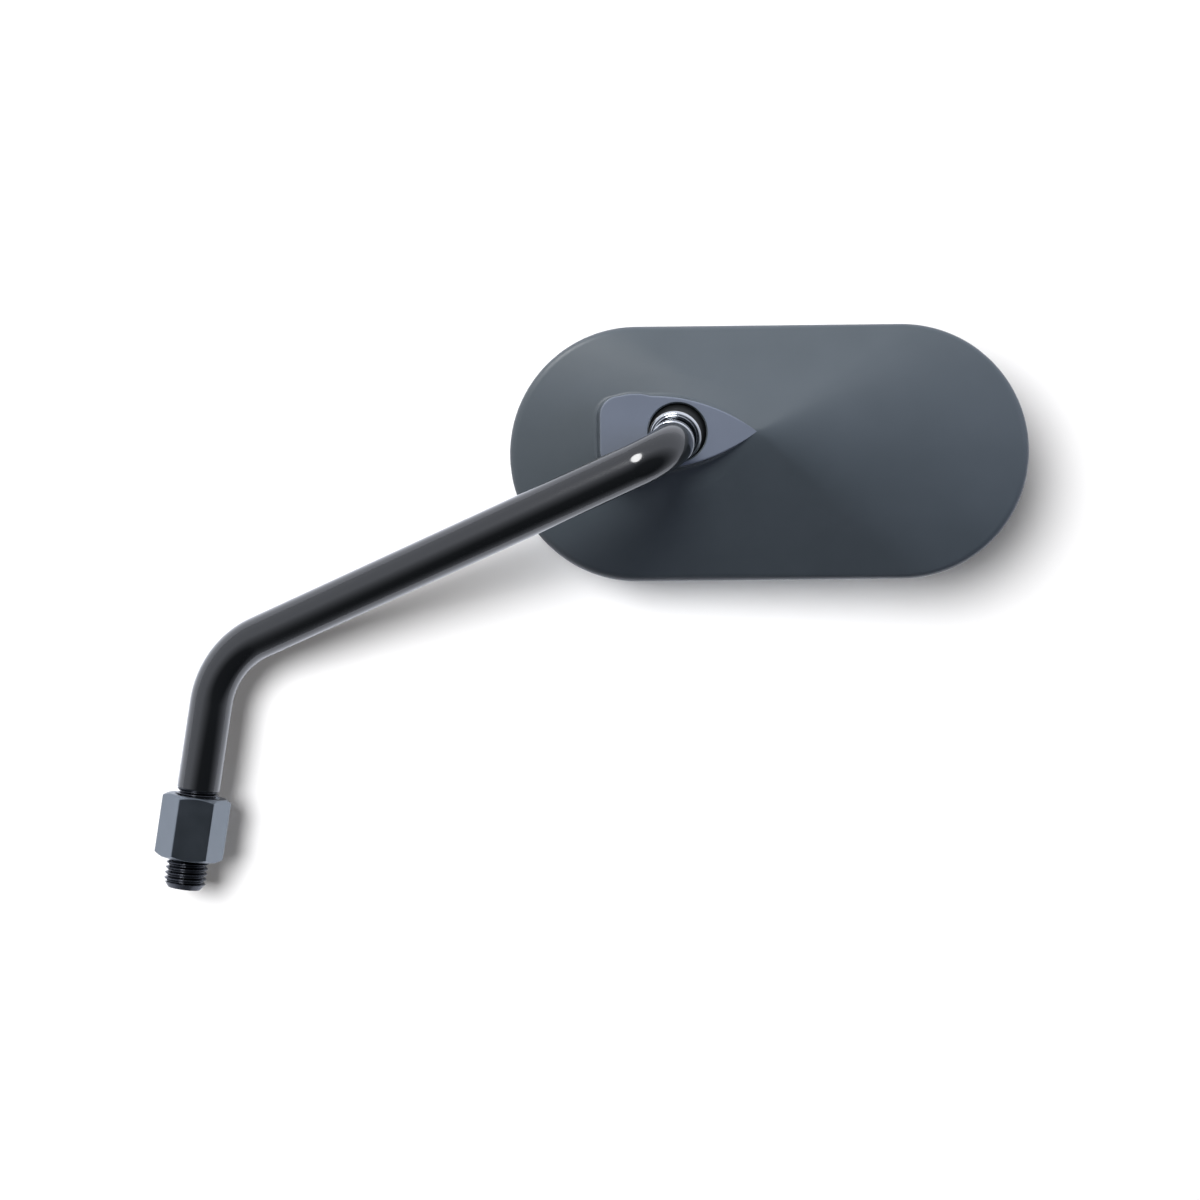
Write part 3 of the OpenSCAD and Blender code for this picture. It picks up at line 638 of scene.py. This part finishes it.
def headRings():
    # every ring is a distance r(a) and a depth w(a) about the ball's hole; they run from the hole
    # over the land, down its wall, over the roof, round the edge and back along the inside
    hole = np.array(head["hole"])
    s = np.linspace(0, 2 * np.pi, head["columns"], endpoint=False)
    a = s - head["bunching"] * np.sin(2 * s)
    same = np.ones_like(a)
    top, side = head["depth"], head["sideHeight"]
    outline = lambda inset: starRadius(stadiumOutline(inset) - hole, a)
    depthAt = lambda r, inset, low, high: crownDepth(
        hole[0] + r * np.cos(a), hole[1] + r * np.sin(a), inset, low, high)
    roofAt = lambda r: depthAt(r, head["roofInset"], side, top)
    land = starRadius(landOutline() + np.array(head["peak"]) - hole, a)
    drop = top - roofAt(land)
    foot = land + head["landDraft"] * drop
    footDepth = np.minimum(roofAt(foot), top)
    corner = outline(0)
    near, more = head["roofStart"]
    roofStart = foot + near + more * np.minimum(drop / head["tallLand"], 1)
    roofEnd = corner - head["roofEnd"]
    share = np.linspace(0, 1, head["roofRows"])[:, None] ** head["crowding"]
    roof = roofStart + (roofEnd - roofStart) * share
    rows, reaches = [], []

    def add(r, w, reach=0.0):
        rows.append(np.stack([hole[0] + r * np.cos(a), hole[1] + r * np.sin(a), w * same], axis=-1))
        reaches.append(reach)

    add(head["holeRadius"], head["lipLow"], 0.08)
    add(head["holeRadius"], top - head["holeChamfer"], 0.06)
    add(head["holeRadius"] + head["holeChamfer"], top, 0.08)
    add(land, top, head["landEdge"])
    add(foot, footDepth, head["landFoot"])
    for r in roof:
        add(r, roofAt(r))
    add(corner, roofAt(corner), head["edge"])
    add(corner, 0, head["rimRound"])
    add(outline(head["wall"]), 0, head["rimRound"] * 0.7)
    add(outline(head["wall"]), head["ledgeDepth"], 0.2)
    inner = head["wall"] + head["ledge"]
    innerHigh = top - head["roofThickness"]
    add(outline(inner), head["ledgeDepth"], 0.2)
    lowInner = head["ledgeDepth"] + head["innerRise"]
    innerEdge = outline(inner)
    for share in head["innerRows"]:
        r = innerEdge + (head["towerRadius"] - innerEdge) * share
        add(r, depthAt(r, inner, lowInner, innerHigh))
    add(head["towerRadius"], head["towerLow"], 0.2)
    add(head["seatRadius"], head["towerLow"], 0.2)
    seat = head["seatRadius"]
    for angle in np.linspace(0, np.arcsin((head["lipLow"] - head["ballDepth"]) / seat), 7):
        add(seat * np.cos(angle), head["ballDepth"] + seat * np.sin(angle))
    return inFrame(easedRows(rows, reaches, True, 6))


headShell = ringBody("headShell", headRings(), True, 50)
headShell.data.materials.append(powderCoat)
headShell.data.materials.append(paintedSheenCoat)
# each eased corner is 8 rows: the land's flat top, painted paler as a painted sheen, runs from the
# hole's chamfer, corner 2, to the middle of its own edge, corner 3
coats = np.zeros(len(headShell.data.polygons), dtype=np.int32)
firstRow, lastRow = head["landTopRows"]
coats[firstRow * head["columns"]:lastRow * head["columns"]] = 1
headShell.data.polygons.foreach_set("material_index", coats)
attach(headShell, "head")
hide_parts("housing")
print("head shell made,", len(headShell.data.polygons), "faces")

glass = {
    "inset": 3.2,
    "set": 0.4,                # depth of the middle below the rim
    "thickness": 2.0,
    "curve": 1200.0,
    "edge": 0.35,
}


def sag(points, drop):
    # set + R - sqrt((R - drop)^2 - distance^2)
    return (glass["set"] + glass["curve"]
            - np.sqrt((glass["curve"] - drop) ** 2 - np.sum(points ** 2, axis=-1)))


def glassRings():
    # the outline shrunk to its middle, laid on the front sphere, and again on the back sphere
    middle, normal = stadiumFrame(96, 48)
    edge = middle + (head["halfHeight"] - glass["inset"]) * normal
    shares = np.concatenate([[0.004], np.linspace(0.05, 0.9, 18)])
    rows = [np.concatenate([edge * s, sag(edge * s, 0)[:, None]], axis=-1) for s in (*shares, 1.0)]
    back = [np.concatenate([edge * s, sag(edge * s, glass["thickness"])[:, None]], axis=-1)
            for s in (1.0, 0.9, 0.6, 0.3, 0.004)]
    reaches = [0] * len(shares) + [glass["edge"], glass["edge"]] + [0] * 4
    return inFrame(easedRows(rows + back, reaches, False, 5))


mirrorGlass = ringBody("mirrorGlassSheet", glassRings(), False)
mirrorGlass.data.materials.append(silvered)
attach(mirrorGlass, "head")
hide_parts("mirror_glass")

rubber = {
    "inset": 2.05,             # from the head's outline to the channel's outer side
    "depth": 4.6,
    "gap": 0.015,              # between rubber and glass
    "lipInset": 5.0,
    "lipTop": 0.02,            # depth of the lip's top, and how wide it is
    "lipWidth": 1.5,
    "lipLift": 0.32,           # thickness of the lip's free edge
}


def rubberRings():
    # a C section carried round the outline: its lip follows the front of the glass
    middle, normal = stadiumFrame(96, 48)
    gap = rubber["gap"]
    ring = lambda inset: middle + (head["halfHeight"] - inset) * normal
    front = lambda inset: sag(ring(inset), 0) - gap
    behind = lambda inset: sag(ring(inset), glass["thickness"]) + gap
    outer, lip, slot = rubber["inset"], rubber["lipInset"], glass["inset"] - gap
    same = np.ones(len(middle))
    top, low = rubber["lipTop"] * same, rubber["depth"] * same
    # inset, depth and rounding of each corner of the section
    section = [(outer, top, 0.25), (outer + rubber["lipWidth"], top, 0.3),
               (lip, front(lip) - rubber["lipLift"], 0.12), (lip, front(lip), 0.08),
               (slot, front(slot), 0), (slot, behind(slot), 0), (lip, behind(lip), 0.05),
               (lip, low, 0.2), (outer, low, 0.2)]
    rows = [np.concatenate([ring(inset), w[:, None]], axis=-1) for inset, w, reach in section]
    return inFrame(easedRows(rows, [reach for inset, w, reach in section], True, 4))


rubberChannel = ringBody("rubberChannel", rubberRings(), True, 50)
rubberChannel.data.materials.append(epdmRubber)
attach(rubberChannel, "head")
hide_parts("rubber_rim")
print("glass and rubber made")

# the pieces inside the head keep their own shapes
insidePieces = {
    "seat_ring": nylonBlack, "pressure_cup": nylonBlack, "clamp_plate": zincPlate,
    "clamp_screw_1": zincPlate, "clamp_screw_2": zincPlate, "clamp_screw_3": zincPlate,
    "spring_washer_1": zincPlate, "spring_washer_2": zincPlate, "spring_washer_3": zincPlate,
    "carrier": carrierPlastic, "carrier_screw_1": zincPlate, "carrier_screw_2": zincPlate,
    "adhesive_pad": foamTape,
}
for name, material in insidePieces.items():
    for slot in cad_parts[name].material_slots:
        slot.material = material
print("inner pieces finished")

roll = np.radians(stageSetup["cameraRoll"])
right = np.array([np.cos(roll), 0, np.sin(roll)])
upward = np.array([-np.sin(roll), 0, np.cos(roll)])
centre = np.array(stageSetup["middle"])


def makeTable():
    # a square about the middle, y = rim + gap + lean (x - x of the ball)
    reach = stageSetup["tableReach"]
    y = float(inFrame(np.zeros(3))[1]) + stageSetup["tableGap"]
    corners = [(-1, -1), (1, -1), (1, 1), (-1, 1)]
    mesh = bpy.data.meshes.new("table")
    places = [np.array([centre[0] + reach * a, y, centre[2] + reach * b]) for a, b in corners]
    for place in places:
        place[1] += stageSetup["tableLean"] * (place[0] - ballCentre[0])
    mesh.from_pydata([(place * mm).tolist() for place in places], [], [(0, 1, 2, 3)])
    table = bpy.data.objects.new("table", mesh)
    bpy.context.scene.collection.objects.link(table)
    # matt white table: it takes the shadow, fades out far from the object, and is seen from its
    # front only
    material, tree = newMaterial("mattWhiteTable")
    geometry = addNode(tree, "ShaderNodeNewGeometry")
    path = addNode(tree, "ShaderNodeLightPath")
    coords = addNode(tree, "ShaderNodeTexCoord")
    shift = addNode(tree, "ShaderNodeMapping", {"Location": [-v * mm for v in centre]},
                    {"Vector": (coords, "Object")})
    away = addNode(tree, "ShaderNodeVectorMath", {"operation": "LENGTH"}, {0: (shift, 0)})
    near, far = stageSetup["tableFade"]
    fade = addNode(tree, "ShaderNodeMapRange", {"From Min": near * mm, "From Max": far * mm},
                   {0: (away, "Value")})
    clear = addNode(tree, "ShaderNodeMath", {"operation": "MAXIMUM"},
                    {0: (fade, 0), 1: (geometry, "Backfacing")})
    tint = addNode(tree, "ShaderNodeMix", {"data_type": "RGBA", 6: linear(stageSetup["tableColour"]),
                   7: linear(stageSetup["mirroredSky"])}, {0: (path, "Is Glossy Ray")})
    matt = addNode(tree, "ShaderNodeBsdfDiffuse", {}, {"Color": (tint, 2)})
    either = addNode(tree, "ShaderNodeMath", {"operation": "MAXIMUM"},
                     {0: (path, "Is Camera Ray"), 1: (path, "Is Glossy Ray")})
    seen = addNode(tree, "ShaderNodeMath", {"operation": "MULTIPLY", 1: stageSetup["tableGlow"]},
                   {0: (either, 0)})
    glow = addNode(tree, "ShaderNodeEmission", {}, {"Strength": (seen, 0)})
    both = addNode(tree, "ShaderNodeAddShader", {}, {0: (matt, 0), 1: (glow, 0)})
    through = addNode(tree, "ShaderNodeBsdfTransparent")
    mix = addNode(tree, "ShaderNodeMixShader", {},
                  {0: (clear, 0), 1: (both, 0), 2: (through, 0)})
    addNode(tree, "ShaderNodeOutputMaterial", {}, {"Surface": (mix, 0)})
    mesh.materials.append(material)
    table.visible_shadow = False


def makeSky():
    # pale studio all round, dark behind the photographer, white for the camera
    world = bpy.data.worlds.new("studio")
    bpy.context.scene.world = world
    world.use_nodes = True
    tree = world.node_tree
    tree.nodes.clear()
    path = addNode(tree, "ShaderNodeLightPath")
    coords = addNode(tree, "ShaderNodeTexCoord")
    facing = addNode(tree, "ShaderNodeVectorMath",
                     {"operation": "DOT_PRODUCT", 1: stageSetup["darkFacing"]},
                     {0: (coords, "Generated")})
    first, last = stageSetup["darkSpread"]
    dark = addNode(tree, "ShaderNodeMapRange", {"From Min": first, "From Max": last},
                   {0: (facing, "Value")})
    sky = addNode(tree, "ShaderNodeMix", {"data_type": "RGBA", 6: linear(stageSetup["skyColour"]),
                  7: linear(stageSetup["mirroredSky"])}, {0: (path, "Is Glossy Ray")})
    colour = addNode(tree, "ShaderNodeMix", {"data_type": "RGBA", 7: linear(stageSetup["darkSide"])},
                     {0: (dark, 0), 6: (sky, 2)})
    level = addNode(tree, "ShaderNodeMapRange", {"To Min": stageSetup["skyStrength"], "To Max": 1.0},
                    {0: (path, "Is Glossy Ray")})
    studio = addNode(tree, "ShaderNodeBackground", {},
                     {"Color": (colour, 2), "Strength": (level, 0)})
    white = addNode(tree, "ShaderNodeBackground", {"Color": (1, 1, 1, 1), "Strength": 1.0})
    seen = addNode(tree, "ShaderNodeMath", {"operation": "MAXIMUM"},
                   {0: (path, "Is Camera Ray"), 1: (path, "Is Transmission Ray")})
    mix = addNode(tree, "ShaderNodeMixShader", {},
                  {0: (seen, 0), 1: (studio, 0), 2: (white, 0)})
    addNode(tree, "ShaderNodeOutputWorld", {}, {"Surface": (mix, 0)})


lamps = {
    # place from the object's middle: to the right, upward and towards the camera, mm; size runs
    # along the rod's arm and across over it; a lamp lights some things alone (only) or everything
    # but some (spares)
    "key": {"place": (-40, 620, 640), "size": 560, "watts": 8.8, "colour": "#fffef8",
            "mirrored": False, "spares": ["table"]},
    "bulb": {"place": (-290, 362, 766), "size": 330, "across": 600, "watts": 5.2,
             "colour": "#ffffff", "mirrored": True, "only": ["rodSkin", "studThread", "studBall"]},
    "fill": {"place": (640, 160, 420), "size": 420, "watts": 2.8, "colour": "#dbe4ff",
             "mirrored": False, "spares": ["table"]},
    "sheen": {"place": (-440, 720, 320), "size": 360, "watts": 3.4, "colour": "#ffffff",
              "mirrored": True, "only": ["headShell"]},
    "tableLamp": {"place": (-540, 280, 1920), "size": 880, "watts": 51.0, "colour": "#ffffff",
                  "mirrored": False, "only": ["table"]},
}


def makeLamp(name, values):
    # an ellipse that faces the middle, its first axis as near the rod's arm as that allows
    data = bpy.data.lights.new(name, "AREA")
    data.shape = "ELLIPSE"
    data.size = values["size"] * mm
    data.size_y = values.get("across", values["size"]) * mm
    data.energy = values["watts"]
    data.color = linear(values["colour"])[:3]
    lamp = bpy.data.objects.new(name, data)
    lamp.visible_glossy = values["mirrored"]
    # light linking: the group holds what the lamp lights, or what it spares
    group = bpy.data.collections.new(name + "Receivers")
    for target in values.get("only") or values["spares"]:
        group.objects.link(bpy.data.objects[target])
    for member in group.collection_objects:
        member.light_linking.link_state = "INCLUDE" if "only" in values else "EXCLUDE"
    lamp.light_linking.receiver_collection = group
    bpy.context.scene.collection.objects.link(lamp)
    x, y, z = values["place"]
    back = unit(x * right + y * upward + z * np.array([0, -1.0, 0]))
    side = unit(armDir - np.dot(armDir, back) * back)
    place = centre + back * np.linalg.norm(values["place"])
    turn = np.stack([side, np.cross(back, side), back], axis=-1)
    lamp.matrix_world = Matrix.Translation((place * mm).tolist()) @ Matrix(turn.tolist()).to_4x4()


makeTable()
makeSky()
for name, values in lamps.items():
    makeLamp(name, values)

cameraData = bpy.data.cameras.new("camera")
cameraData.lens = stageSetup["lens"]
cameraData.sensor_width = 36.0
cameraData.dof.use_dof = False
camera = bpy.data.objects.new("camera", cameraData)
bpy.context.scene.collection.objects.link(camera)
camera.matrix_world = Matrix.Translation([v * mm for v in stageSetup["cameraPlace"]]) @ \
    Matrix(np.stack([right, upward, [0, -1.0, 0]], axis=-1).tolist()).to_4x4()
bpy.context.scene.camera = camera
bpy.context.scene.view_settings.view_transform = "Standard"
print("table, light and camera placed")
